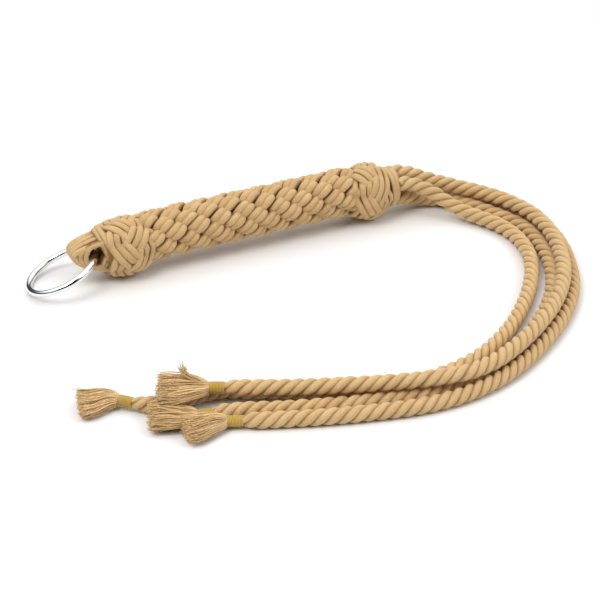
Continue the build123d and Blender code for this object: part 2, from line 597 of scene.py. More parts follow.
@dataclass
class Wardrobe:
    """Builds each finish once and hands it out."""

    made: dict[str, bpy.types.Material] = field(default_factory=dict)

    def dress(self, piece: bpy.types.Object, finish: Cotton | Chrome) -> None:
        """Give a piece a finish in all its material slots.

        Args:
            piece: the object to dress.
            finish: the finish, built on its first use.
        """
        if finish.name not in self.made:
            self.made[finish.name] = finish.material()
        for slot in piece.material_slots:
            slot.material = self.made[finish.name]
        if not piece.material_slots:
            piece.data.materials.append(self.made[finish.name])

    def finish_piece(
        self, surface: Surface, name: str, finish: Cotton, node: str
    ) -> bpy.types.Object:
        """Make a piece of the quirt's body in place of a solid.

        Args:
            surface: its tubes.
            name: its name.
            finish: its finish.
            node: the solid that it replaces.

        Returns:
            The dressed and declared object.
        """
        piece = surface.make(name)
        self.dress(piece, finish)
        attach(piece, "quirt")
        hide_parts(node)
        log.info("%s: %d faces, stands for %s", piece.name, len(piece.data.polygons), node)
        return piece


# ---- studio --------------------------------------------------------------------
@dataclass
class Studio:
    """Camera, floor and soft light."""

    camera_place: Place = (-0.4536, -1.0869, 0.6696)
    aim: Place = (0.0236, -0.0799, 0.0)
    lens: float = 123.0
    sensor: float = 36.0
    floor_half: float = 4.0
    floor_depth: float = 0.2 * MM
    floor_colour: Colour = (0.86, 0.86, 0.86)
    horizon_colour: Colour = (0.05, 0.05, 0.055)

    def face_aim(self, thing: bpy.types.Object, place: Place) -> None:
        """Stand a camera or lamp at its place and turn it to the aim.

        Args:
            thing: the camera or lamp.
            place: where it stands.
        """
        thing.location = place
        look = Vector(self.aim) - Vector(place)
        thing.rotation_euler = look.to_track_quat("-Z", "Y").to_euler()
        bpy.context.scene.collection.objects.link(thing)

    def set_camera(self) -> None:
        """Stand the camera at its place."""
        data = bpy.data.cameras.new("studio_camera")
        data.lens = self.lens
        data.sensor_width = self.sensor
        data.clip_end = 20.0
        data.dof.use_dof = False
        camera = bpy.data.objects.new("studio_camera", data)
        self.face_aim(camera, self.camera_place)
        bpy.context.scene.camera = camera

    def lay_floor(self) -> None:
        """Lay a pale floor just under the object."""
        near, far, low = -self.floor_half, self.floor_half, -self.floor_depth
        corners = [(near, near, low), (far, near, low), (far, far, low), (near, far, low)]
        mesh = bpy.data.meshes.new("studio_floor")
        mesh.from_pydata(corners, [], [(0, 1, 2, 3)])
        floor = bpy.data.objects.new("studio_floor", mesh)
        bpy.context.scene.collection.objects.link(floor)
        made = bpy.data.materials.new("studio_paper")
        made.use_nodes = True
        shader = made.node_tree.nodes["Principled BSDF"]
        set_inputs(shader, Base_Color=(*self.floor_colour, 1.0), Roughness=0.9)
        floor.data.materials.append(made)

    def add_lamp(self, name: str, place: Place, size: float, power: float) -> None:
        """Hang one square soft lamp that faces the object.

        Args:
            name: the lamp's name.
            place: where it hangs.
            size: its side.
            power: its output in watts.
        """
        data = bpy.data.lights.new(name, "AREA")
        data.shape = "SQUARE"
        data.size = size
        data.energy = power
        self.face_aim(bpy.data.objects.new(name, data), place)

    def set_sky(self) -> None:
        """Wrap the set in light, dim near the horizon and dark on the near side."""
        world = bpy.data.worlds.new("studio_sky")
        bpy.context.scene.world = world
        world.use_nodes = True
        graph = Graph(world.node_tree)
        back = graph.tree.nodes["Background"]
        place = graph.add("TexCoord").outputs["Generated"]
        split = graph.add("SeparateXYZ", {"Vector": place})
        ramp = graph.add("ValToRGB", {"Fac": split.outputs["Z"]})
        dim, bright = ramp.color_ramp.elements
        dim.position, dim.color = 0.30, (*self.horizon_colour, 1.0)
        bright.position, bright.color = 0.55, (1.0, 1.0, 1.0, 1.0)
        toward = graph.add("VectorMath", {0: place}, "DOT_PRODUCT")
        toward.inputs[1].default_value = tuple(unit(np.array(self.camera_place)))
        screen = graph.spread(toward.outputs["Value"], (0.76, 0.88), (1.32, 0.02))
        graph.tree.links.new(ramp.outputs["Color"], back.inputs["Color"])
        graph.tree.links.new(screen, back.inputs["Strength"])

    def build(self) -> None:
        """Set up the whole studio."""
        self.set_camera()
        self.lay_floor()
        self.set_sky()
        self.add_lamp("key_lamp", (-0.9, -0.5, 1.5), 0.8, 12.0)
        self.add_lamp("fill_lamp", (1.2, -1.2, 1.3), 1.0, 8.0)
        settings = bpy.context.scene.view_settings
        settings.view_transform = "Standard"
        settings.look = "None"
        log.info("studio built")


# ---- handle --------------------------------------------------------------------
@dataclass
class Handle:
    """Where the handle's parts stand along its axis, read from the solids' boxes."""

    axis_height: float = 20.0 * MM
    butt_start: float = field(init=False)
    butt_end: float = field(init=False)
    neck_start: float = field(init=False)
    neck_end: float = field(init=False)

    def __post_init__(self) -> None:
        """Read the two knots' faces from the frame."""
        low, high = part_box("butt_knot")
        self.butt_start, self.butt_end = low.x, high.x
        low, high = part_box("neck_knot")
        self.neck_start, self.neck_end = low.x, high.x

    def wrap(self, x: np.ndarray, turn: np.ndarray, radius: np.ndarray | float) -> np.ndarray:
        """Points round the handle's axis.

        Args:
            x: places along the axis.
            turn: angles round it, from straight up towards the near side at -Y.
            radius: distances from it.

        Returns:
            Points, with x kept, y the radius times minus the sine, and z the axis
            height plus the radius times the cosine.
        """
        x, turn, radius = np.broadcast_arrays(x, turn, radius)
        height = self.axis_height + radius * np.cos(turn)
        return np.stack([x, -radius * np.sin(turn), height], axis=-1)

    def spoke(self, x: np.ndarray, turn: np.ndarray) -> np.ndarray:
        """Unit directions straight out from the axis at each place and angle."""
        return self.wrap(x, turn, 1.0) - self.wrap(x, turn, 0.0)


@dataclass
class Collar:
    """Turns of cord that bind the tails where they leave the neck knot."""

    handle: Handle
    spread: float = 8.8 * MM
    first_turn: float = 60.0
    exit_run: float = 8.0 * MM
    lobe: float = 0.35
    turns: tuple[tuple[float, float], ...] = ((0.1, 12.6), (0.55, 12.0), (0.9, 10.9))
    end: float = field(init=False)
    start: float = field(init=False)

    def __post_init__(self) -> None:
        """Read the collar's two faces from the frame."""
        low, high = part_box("neck_collar")
        self.start, self.end = low.x, high.x

    def exit_point(self, quarter: int) -> np.ndarray:
        """Where a tail leaves: on a circle round the axis, a quarter turn apart.

        Args:
            quarter: which quarter of the circle, 0 to 3.

        Returns:
            The point where the tail starts.
        """
        turn = np.radians(self.first_turn + 90.0 * quarter)
        height = self.handle.axis_height + self.spread * np.sin(turn)
        return np.array([self.end, self.spread * np.cos(turn), height])

    def build(self, wardrobe: Wardrobe) -> None:
        """Wind the collar's cord as closed turns, each lobed over the four tails.

        A turn's radius is its own plus a little times the cosine of four times the
        angle, and its place along the axis swings once a turn.

        Args:
            wardrobe: where the finishes come from.
        """
        surface = Surface()
        rows, columns = 160, 16
        angle = np.linspace(0, FULL_TURN, rows, endpoint=False)
        for number, (share, radius) in enumerate(self.turns):
            lobes = self.lobe * np.cos(4 * (angle - np.radians(30.0)))
            x = self.start + (self.end - self.start) * share
            x = x + 0.8 * MM * np.sin(angle + 1.3 * number)
            path = self.handle.wrap(x, angle, (radius + lobes) * MM)
            outward = self.handle.spoke(x, angle)
            across = unit(np.cross(np.gradient(path, axis=0), outward))
            grid = sweep(path, outward, across, 1.5 * MM, 1.75 * MM, columns)
            # painted shade in the grooves between the turns
            surface.add_tube(grid, painted_groove_shade_mask(rows, columns), closed=True)
        wardrobe.finish_piece(surface, "collar_turns", CORD_COTTON, "neck_collar")


# ---- tails ---------------------------------------------------------------------
@dataclass
class Tail:
    """One tail: a three-strand rope, the thread that binds its end, and its tassel.

    The points and the cut end are in millimetres. The thread starts bind_back before
    the rope's end. The trim is the yarns' length as a share of the way to the cut end,
    and the wisp, if there is one, is where a few stray yarns go from the tassel's root.
    """

    name: str
    exit_quarter: int
    points_mm: list[Place]
    cut_end_mm: Place
    fan_half_width: float
    fan_half_height: float
    seed: int
    start_phase: float
    wisp_mm: Place | None = None
    bind_back: float = 0.0
    bound_radius: float = 3.5 * MM
    bound_length: float = 9.0 * MM
    thread: float = 0.85 * MM
    rope_radius: float = 5.0 * MM
    strand_offset: float = 2.45 * MM
    strand_half_depth: float = 2.6 * MM
    strand_half_width: float = 2.42 * MM
    pitch: float = 23.0 * MM
    lowest: float = 0.05 * MM
    trim: float = 0.9
    fibres: int = 720
    tufts: int = 60
    stray_tufts: int = 3

    def route(self, collar: Collar) -> np.ndarray:
        """The tail's control points: its exit, a straight stretch and its own points.

        Args:
            collar: the collar that the tail leaves.

        Returns:
            The points in metres, one a row.
        """
        out = collar.exit_point(self.exit_quarter)
        return np.vstack([out, out + collar.exit_run * AXIS, np.array(self.points_mm) * MM])

    def rope(self, line: np.ndarray) -> Surface:
        """Wind three strands left-handed round the tail's line.

        A strand's centre is the line plus its offset along a direction that turns back
        once a pitch. The whole rope draws in over its last stretch, before the thread.

        Args:
            line: the tail's smooth line.

        Returns:
            The three strands.
        """
        along = travelled(line)
        side, over = side_and_over(headings(line))
        left = along[-1] - along
        drawn_in = 0.6 + 0.4 * smooth_step((left - self.bind_back + 0.5 * MM) / (7.5 * MM))
        rng = np.random.default_rng(self.seed)
        surface = Surface()
        columns = 26
        for number in range(3):
            drift = 0.12 * np.sin(along / (61 * MM) + rng.uniform(0, FULL_TURN))
            turn = self.start_phase + FULL_TURN * (number / 3 - along / self.pitch) + drift
            radial = np.cos(turn)[:, None] * side + np.sin(turn)[:, None] * over
            centre = line + (self.strand_offset * drawn_in)[:, None] * radial
            across = unit(np.cross(headings(centre), radial))
            size = drawn_in * (1 + 0.025 * np.sin(along / (9 * MM) + rng.uniform(0, FULL_TURN)))
            depth, width = self.strand_half_depth * size, self.strand_half_width * size
            grid = sweep(centre, radial, across, depth, width, columns)
            grid[..., 2] = np.maximum(grid[..., 2], self.lowest)
            # painted shade at half strength in the grooves between the strands
            shade = 0.5 * painted_groove_shade_mask(len(line), columns, 0.8, 1.4)
            surface.add_tube(grid, shade, tone=float(rng.uniform(0.3, 0.7)))
        return surface

    def binding(self, start: np.ndarray, heading: np.ndarray) -> Surface:
        """Wind thread round the rope's end.

        The sleeve's radius is its own plus half a thread times the rounded height of
        the turn: the size of the sine of half the angle that a helix has reached.

        Args:
            start: where the thread begins.
            heading: the direction that the rope's end points in.

        Returns:
            The wound sleeve.
        """
        rows, columns = 160, 40
        share = np.linspace(0.0, 1.0, rows)
        angle = cord_outline(columns)
        turns = self.bound_length / self.thread
        ridge = np.abs(np.sin(0.5 * (FULL_TURN * turns * share[:, None] - angle[None, :])))
        belly = (1 + 0.04 * np.sin(np.pi * share))[:, None]
        ends = np.sqrt(np.clip(np.minimum(share, 1 - share) / 0.03, 0, 1))[:, None]
        radius = (self.bound_radius - 0.5 * self.thread) * belly + 0.5 * self.thread * ridge
        radius = radius * (0.82 + 0.18 * ends)
        side, over = side_and_over(heading)
        centre = start + share[:, None] * self.bound_length * heading
        grid = (
            centre[:, None, :]
            + (radius * np.cos(angle))[..., None] * side
            + 0.94 * (radius * np.sin(angle))[..., None] * over
        )
        surface = Surface()
        # painted shade in the grooves between the thread's turns
        surface.add_tube(grid, np.clip(1 - 1.6 * ridge, 0, 1))
        return surface

    def tassel(self, root: np.ndarray, heading: np.ndarray) -> Surface:
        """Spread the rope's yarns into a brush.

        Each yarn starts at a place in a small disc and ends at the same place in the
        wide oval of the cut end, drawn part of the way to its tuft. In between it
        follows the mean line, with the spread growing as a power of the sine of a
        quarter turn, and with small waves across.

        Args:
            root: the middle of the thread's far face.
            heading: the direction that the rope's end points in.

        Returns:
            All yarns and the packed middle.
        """
        rng = np.random.default_rng(self.seed + 50)
        cut = np.array(self.cut_end_mm) * MM
        reach = float(np.linalg.norm(cut - root))
        out = unit(cut - root)
        side, over = side_and_over(heading)
        end_side, end_over = side_and_over(out)

        count = self.fibres
        spread = np.sqrt(rng.uniform(0, 1, count))
        bearing = rng.uniform(0, FULL_TURN, count)
        disc = np.stack([spread * np.cos(bearing), spread * np.sin(bearing)], axis=1)
        centres = disc[rng.choice(count, self.tufts, replace=False)]
        near = np.argmin(((disc[:, None] - centres[None]) ** 2).sum(-1), axis=1)
        gathered = disc + 0.35 * (centres[near] - disc) + rng.normal(0, 0.07, (count, 2))
        length = self.trim + rng.normal(0, 0.035, count)
        length = length + 0.05 * (rng.uniform(0, 1, self.tufts)[near] - 0.5)
        tone = rng.uniform(0.25, 0.85, self.tufts)[near] + rng.normal(0, 0.2, count)

        rows, corners = 10, 3
        share = np.linspace(0.0, 1.0, rows)
        bend = share * length[:, None]
        weight = (np.sin(np.clip(bend, 0, 1.15) * np.pi / 2) ** 0.62)[..., None]
        lean = smooth_step(bend * 1.4)[..., None]
        mean_line = root + (heading * (1 - lean) + out * lean) * (bend * reach)[..., None]
        small = 0.9 * self.bound_radius - 0.3 * MM
        start_off = small * (disc[:, :1] * side + disc[:, 1:] * over)
        end_off = self.fan_half_width * gathered[:, :1] * end_side
        end_off = end_off + self.fan_half_height * gathered[:, 1:] * end_over
        phase = rng.uniform(0, FULL_TURN, (count, 2, 1))
        rate = rng.uniform(4.0, 13.0, (count, 2, 1))
        waves = 0.7 * MM * bend[:, None, :] * np.sin(rate * bend[:, None, :] + phase)
        path = mean_line + start_off[:, None, :] * (1 - weight) + end_off[:, None, :] * weight
        path = path + waves[:, 0, :, None] * end_side + waves[:, 1, :, None] * end_over
        path[..., 2] = np.maximum(path[..., 2], 0.35 * MM)
        if self.wisp_mm is not None:
            stray = near < self.stray_tufts
            path[stray] = self.wisp(rng, root + start_off[stray][:, None, :], root, heading, share)

        surface = Surface()
        thin = 0.24 * MM * (1 - 0.25 * share**3)
        for yarn, inset, shade in zip(path, spread, np.clip(tone, 0, 1)):
            across = unit(np.cross(headings(yarn), end_over + 1e-6))
            grid = sweep(yarn, np.cross(headings(yarn), across), across, thin, thin, corners)
            # painted shade: yarns near the brush's middle are darker, most towards the root
            depth = 0.3 * np.clip(0.75 - inset * 0.75, 0, 1) * (1 - 0.4 * share)
            painted_sunk_shade = np.broadcast_to(depth[:, None], (rows, corners))
            surface.add_tube(grid, painted_sunk_shade, tone=float(shade))
        self.pack_middle(surface, root, heading, out, reach)
        return surface

    def wisp(
        self,
        rng: np.random.Generator,
        starts: np.ndarray,
        root: np.ndarray,
        heading: np.ndarray,
        share: np.ndarray,
    ) -> np.ndarray:
        """Bend a few stray yarns away from the brush.

        A yarn goes from its start by a power of the share along the way to the wisp's
        end, with a hump along the rope's heading and a random part that grows evenly.

        Args:
            rng: the tassel's random draws.
            starts: where the yarns start.
            root: the middle of the thread's far face.
            heading: the direction that the rope's end points in.
            share: how far along each point lies, 0 to 1.

        Returns:
            The paths, yarns by points by three.
        """
        away = np.array(self.wisp_mm) * MM
        fan_out = 1.6 * MM * rng.normal(0, 1, (len(starts), 1, 3)) * share[None, :, None]
        loose = root + (starts - root) * (1 - 0.6 * share)[None, :, None]
        loose = loose + heading * 5.0 * MM * np.sin(np.pi * share)[None, :, None]
        return loose + away * (share**1.1)[None, :, None] + fan_out

    def pack_middle(
        self, surface: Surface, root: np.ndarray, heading: np.ndarray, out: np.ndarray, reach: float
    ) -> None:
        """Fill the brush's heart so that no light shows through its neck.

        The body's half width goes from the bound end's to part of the fan's by the
        same power of a sine as the yarns.

        Args:
            surface: where the body is added.
            root: the middle of the thread's far face.
            heading: the rope's direction at its end.
            out: the brush's direction.
            reach: the brush's length.
        """
        rows, columns = 12, 20
        share = np.linspace(0.0, 0.8, rows)
        lean = smooth_step(share * 1.4)[:, None]
        centre = root + (heading * (1 - lean) + out * lean) * (share * reach)[:, None]
        grow = np.sin(share * np.pi / 2) ** 0.62
        closing = np.sqrt(np.clip((0.83 - share) / 0.25, 0, 1))
        small = 0.85 * self.bound_radius
        wide = (small + (0.72 * self.fan_half_width - small) * grow) * closing
        high = (small + (0.6 * self.fan_half_height - small) * grow) * closing
        side, over = (np.tile(way, (rows, 1)) for way in side_and_over(out))
        grid = sweep(centre, over, side, high, wide, columns)
        grid[..., 2] = np.maximum(grid[..., 2], 0.4 * MM)
        # painted shade: the brush's middle takes much of the dark shade colour and the darkest tone
        surface.add_tube(grid, np.full((rows, columns), 0.75), tone=0.2)

    def build(self, collar: Collar, wardrobe: Wardrobe) -> None:
        """Args:
            collar: the collar that the tail leaves.
            wardrobe: where the finishes come from.
        """
        control = self.route(collar)
        line = route_line(f"line_{self.name}", control, 0.8 * MM)
        heading = unit(control[-1] - control[-2])
        bound = control[-1] - (self.bind_back + 0.4 * MM) * heading
        root = bound + (self.bound_length - 0.4 * MM) * heading
        name = self.name
        rope, thread, tassel = (
            wardrobe.finish_piece(surface, label, finish, node)
            for surface, label, finish, slot, node in (
                (self.rope(line), f"rope_{name}", ROPE_COTTON, Slot.ROPE, f"tail_{name}"),
                (
                    self.binding(bound, heading),
                    f"thread_{name}",
                    THREAD_COTTON,
                    Slot.THREAD,
                    f"whipping_{name}",
                ),
                (
                    self.tassel(root, heading),
                    f"tassel_{name}_yarns",
                    YARN_COTTON,
                    Slot.YARN,
                    f"tassel_{name}",
                ),
            )
        )


# ---- knots, grip and eye -------------------------------------------------------
@dataclass
class TurksHead:
    """A woven knot: one cord laid round a barrel several times over and under itself."""

    handle: Handle
    name: str
    node: str
    start: float
    end: float
    bights: int
    cord_width: float
    phase: float
    near_rim: float = 14.6 * MM
    far_rim: float = 14.6 * MM
    leads: int = 3
    passes: int = 3
    cord_depth: float = 3.5 * MM
    crown_radius: float = 20.0 * MM
    lift: float = 1.45 * MM
    body_inset: float = 3.9 * MM
    body_end_gap: float = 0.6 * MM

    @property
    def middle(self) -> float:
        """The knot's middle along the axis."""
        return (self.start + self.end) / 2

    @property
    def half(self) -> float:
        """Half the knot's length."""
        return (self.end - self.start) / 2

    def barrel(self, x: np.ndarray) -> np.ndarray:
        """Radius of the knot's outside at x: an ellipse from each rim up to the crown.

        Args:
            x: places along the axis.

        Returns:
            The radius at each place.
        """
        share = np.clip((x - self.middle) / self.half, -1.2, 1.2)
        rim = np.where(share < 0, self.near_rim, self.far_rim)
        fall = 1 - (rim / self.crown_radius) ** 2
        return self.crown_radius * np.sqrt(np.clip(1 - fall * share**2, 0.2, 1))

    def centre_line(self, spot: np.ndarray) -> tuple[np.ndarray, np.ndarray, np.ndarray]:
        """Place, angle and height of the middle pass.

        The place along the axis is a cosine that swings once a bight, the angle goes
        round once a lead, and the height is a cosine that changes sign from crossing
        to crossing, turned over on the way back.

        Args:
            spot: how far round the whole knot, 0 to one full turn.

        Returns:
            Distance from the knot's middle as a share of the swing, the angle, and
            the height as a share of the lift.
        """
        swing = self.bights * spot
        back = np.sin(swing)
        height = -np.cos(self.leads * swing) * back / np.sqrt(back**2 + 0.12)
        return np.cos(swing), self.leads * spot + self.phase, height

    def build(self, wardrobe: Wardrobe) -> None:
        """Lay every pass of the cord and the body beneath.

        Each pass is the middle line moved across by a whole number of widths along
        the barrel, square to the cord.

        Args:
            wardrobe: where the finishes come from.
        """
        rows, columns = 1500, 16
        swing = self.half - self.passes * self.cord_width / 2
        spot = np.linspace(0, FULL_TURN, rows, endpoint=False)
        share, turn, height = self.centre_line(spot)
        rng = np.random.default_rng(self.leads * 10 + self.bights)
        surface = Surface()
        mean_radius = self.crown_radius - self.cord_depth / 2 - self.lift
        pace_x = -swing * self.bights * np.sin(self.bights * spot)
        pace_turn = self.leads * mean_radius
        pace = np.hypot(pace_x, pace_turn)
        for number in range(self.passes):
            wander = 0.18 * MM * np.sin(7 * spot + rng.uniform(0, FULL_TURN))
            shift = (number - (self.passes - 1) / 2) * self.cord_width + wander
            x = self.middle + swing * share + shift * pace_turn / pace
            angle = turn - shift * pace_x / pace / mean_radius
            inset = self.cord_depth / 2 + self.lift * (1 - height) + 0.1 * MM
            path = self.handle.wrap(x, angle, self.barrel(x) - inset)
            probe = 0.2 * MM
            slope = (self.barrel(x + probe) - self.barrel(x - probe)) / (2 * probe)
            outward = unit(self.handle.spoke(x, angle) - slope[:, None] * AXIS)
            across = unit(np.cross(loop_headings(path), outward))
            swell = 1 + 0.05 * np.sin(11 * spot + rng.uniform(0, FULL_TURN))
            width = 0.5 * self.cord_width * swell * (1.0 + 0.1 * height)
            grid = sweep(path, outward, across, self.cord_depth / 2, width, columns)
            # painted shade in the grooves, and more painted shade where the cord passes under a
            # crossing
            shade = 0.9 * painted_groove_shade_mask(rows, columns, 0.8, 1.45)
            shade = np.maximum(shade, 0.35 * smooth_step(-height)[:, None])
            surface.add_tube(grid, shade, tone=float(rng.uniform(0.35, 0.65)), closed=True)
        self.pack_body(surface)
        wardrobe.finish_piece(surface, self.name, CORD_COTTON, self.node)

    def pack_body(self, surface: Surface) -> None:
        """Add the closed body under the cords: the barrel, drawn in by their depth.

        Args:
            surface: the surface that the body is added to.
        """
        rows, columns = 40, 64
        x = np.linspace(self.start + self.body_end_gap, self.end - self.body_end_gap, rows)
        radius = (self.barrel(x) - self.body_inset)[:, None]
        grid = self.handle.wrap(x[:, None], cord_outline(columns)[None, :], radius)
        # painted shade: the body under the cords takes the dark shade colour almost whole
        surface.add_tube(grid, np.full((rows, columns), 0.95))


class StrandPair(NamedTuple):
    """The two lines of a doubled strand, with what its cords are drawn from."""

    lines: tuple[np.ndarray, np.ndarray]
    across: np.ndarray
    radius: np.ndarray
    height: np.ndarray


@dataclass
class PlaitedGrip:
    """The grip: six doubled cords that rise over and dive under one another.

    A layer is the distance along the axis from one bump of a strand to its next, and
    step_round the angle between them. The grip stands up and leans back by a little
    from the handle's axis.
    """

    handle: Handle
    strands: int = 6
    phase: float = 15.0
    layer: float = 8.1 * MM
    step_round: float = -34.0
    mean_radius: float = 9.6 * MM
    rise: float = 4.2 * MM
    reach_along: float = 2.6
    reach_round: float = 0.9
    dive_lag: float = 0.2
    cord_radius: float = 2.7 * MM
    pair_gap: float = 2.15 * MM
    pair_twist: float = 0.7 * MM
    tilt: float = 32.0
    stand_up: float = 2.4 * MM
    lean_back: float = 1.6 * MM
    end_overlap: float = 3.0 * MM
    heart_radius: float = 2.1 * MM
    heart_ring: float = 4.1 * MM

    @staticmethod
    def wander(s: np.ndarray, number: int, kind: int) -> np.ndarray:
        """A slow unevenness of the hand: two sines of unlike pace, within -1 and 1."""
        start = 1.7 * number + 2.3 * kind
        return 0.6 * np.sin(1.9 * s + start) + 0.4 * np.sin(3.1 * s + 2.0 * start)

    def pair(self, number: int) -> StrandPair:
        """Work out one doubled strand.

        With s the number of layers passed, the place along the axis is s plus a share
        of the sine of the whole turn of s, the angle falls by the step the same way,
        and the radius is the mean plus the rise times the cosine. Each cord of the
        pair is moved half a pair's gap across the bumps.

        Args:
            number: which strand, from 0.

        Returns:
            The two lines, the across direction, the radius and the height of the
            wave, each with one entry a row.
        """
        start, end = self.handle.butt_end, self.handle.neck_start
        layers = (end - start) / self.layer
        s = np.linspace(-0.9, layers + 0.9, int((layers + 1.8) * 26))
        beat = np.sin(FULL_TURN * s) / FULL_TURN
        x = start + self.layer * (s + self.reach_along * beat)
        x = x + 1.1 * MM * self.wander(s, number, 2)
        turn = np.radians(
            self.phase
            + 360.0 / self.strands * number
            + self.step_round * (s + self.reach_round * beat)
            + 4.0 * self.wander(s, number, 1)
        )
        radius = self.mean_radius + self.rise * np.cos(FULL_TURN * (s - 0.04) + self.dive_lag)
        radius = radius + 0.45 * MM * self.wander(s, number, 3)
        x = np.clip(x, start - self.end_overlap, end + self.end_overlap)
        around = self.handle.spoke(x, turn + np.pi / 2)
        tilt = np.radians(self.tilt)
        across = unit(np.cos(tilt) * around + np.sin(tilt) * AXIS)
        height = np.cos(FULL_TURN * s)
        gap = self.pair_gap * (0.66 + 0.34 * height)
        twist = self.pair_twist * np.sin(FULL_TURN * s)
        shift = gap[:, None] * across + twist[:, None] * self.handle.spoke(x, turn)
        moved = self.lean_back * LEVEL + self.stand_up * UP
        middle = self.handle.wrap(x, turn, radius) + moved
        return StrandPair((middle + shift, middle - shift), across, radius, height)

    def build(self, wardrobe: Wardrobe) -> None:
        """Make each strand as its own piece, and the heart.

        Args:
            wardrobe: where the finishes come from.
        """
        columns = 14
        angle = cord_outline(columns)
        rng = np.random.default_rng(6)
        for number in range(self.strands):
            pair = self.pair(number)
            thick = self.cord_radius * (0.86 + 0.14 * pair.height)
            dive = (self.mean_radius + 0.3 * self.rise - pair.radius) / (1.2 * self.rise)
            surface = Surface()
            for line, inner in zip(pair.lines, (-1.0, 1.0)):
                outward = unit(np.cross(pair.across, headings(line)))
                grid = sweep(line, outward, pair.across, thick, thick, columns)
                # painted shade in the grooves, lighter in the pair's own, and darker where the
                # strand dives under the others
                painted_groove_shade = 0.9 * painted_groove_shade_mask(len(line), columns)
                painted_groove_shade = painted_groove_shade * np.where(np.sin(angle) * inner > 0, 0.55, 1.0)
                shade = np.maximum(painted_groove_shade, 0.95 * smooth_step(dive)[:, None])
                surface.add_tube(grid, shade, tone=float(rng.uniform(0.3, 0.7)))
            name, node = f"plait_cord_{number + 1}", f"plait_strand_{number + 1}"
            wardrobe.finish_piece(surface, name, CORD_COTTON, node)
        self.build_heart(wardrobe)

    def build_heart(self, wardrobe: Wardrobe) -> None:
        """Lay the heart: six cords round a seventh, seen only in the plait's gaps.

        Args:
            wardrobe: where the finishes come from.
        """
        low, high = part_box("handle_core")
        rows, columns = 60, 18
        x = np.linspace(low.x, high.x - 1 * MM, rows)
        surface = Surface()
        for number in range(7):
            ring = 0.0 if number == 6 else self.heart_ring
            path = self.handle.wrap(x, number * FULL_TURN / 6 + 6.0 * x, ring)
            level, over = side_and_over(headings(path))
            grid = sweep(path, over, level, self.heart_radius, self.heart_radius, columns)
            # painted shade in the grooves of the heart's cords
            surface.add_tube(grid, painted_groove_shade_mask(rows, columns, 1.5, 2.5))
        # the heart's finish is darkened cord colour, painted shade
        wardrobe.finish_piece(surface, "heart_cords", HEART_COTTON_IN_PAINTED_SHADE, "handle_core")


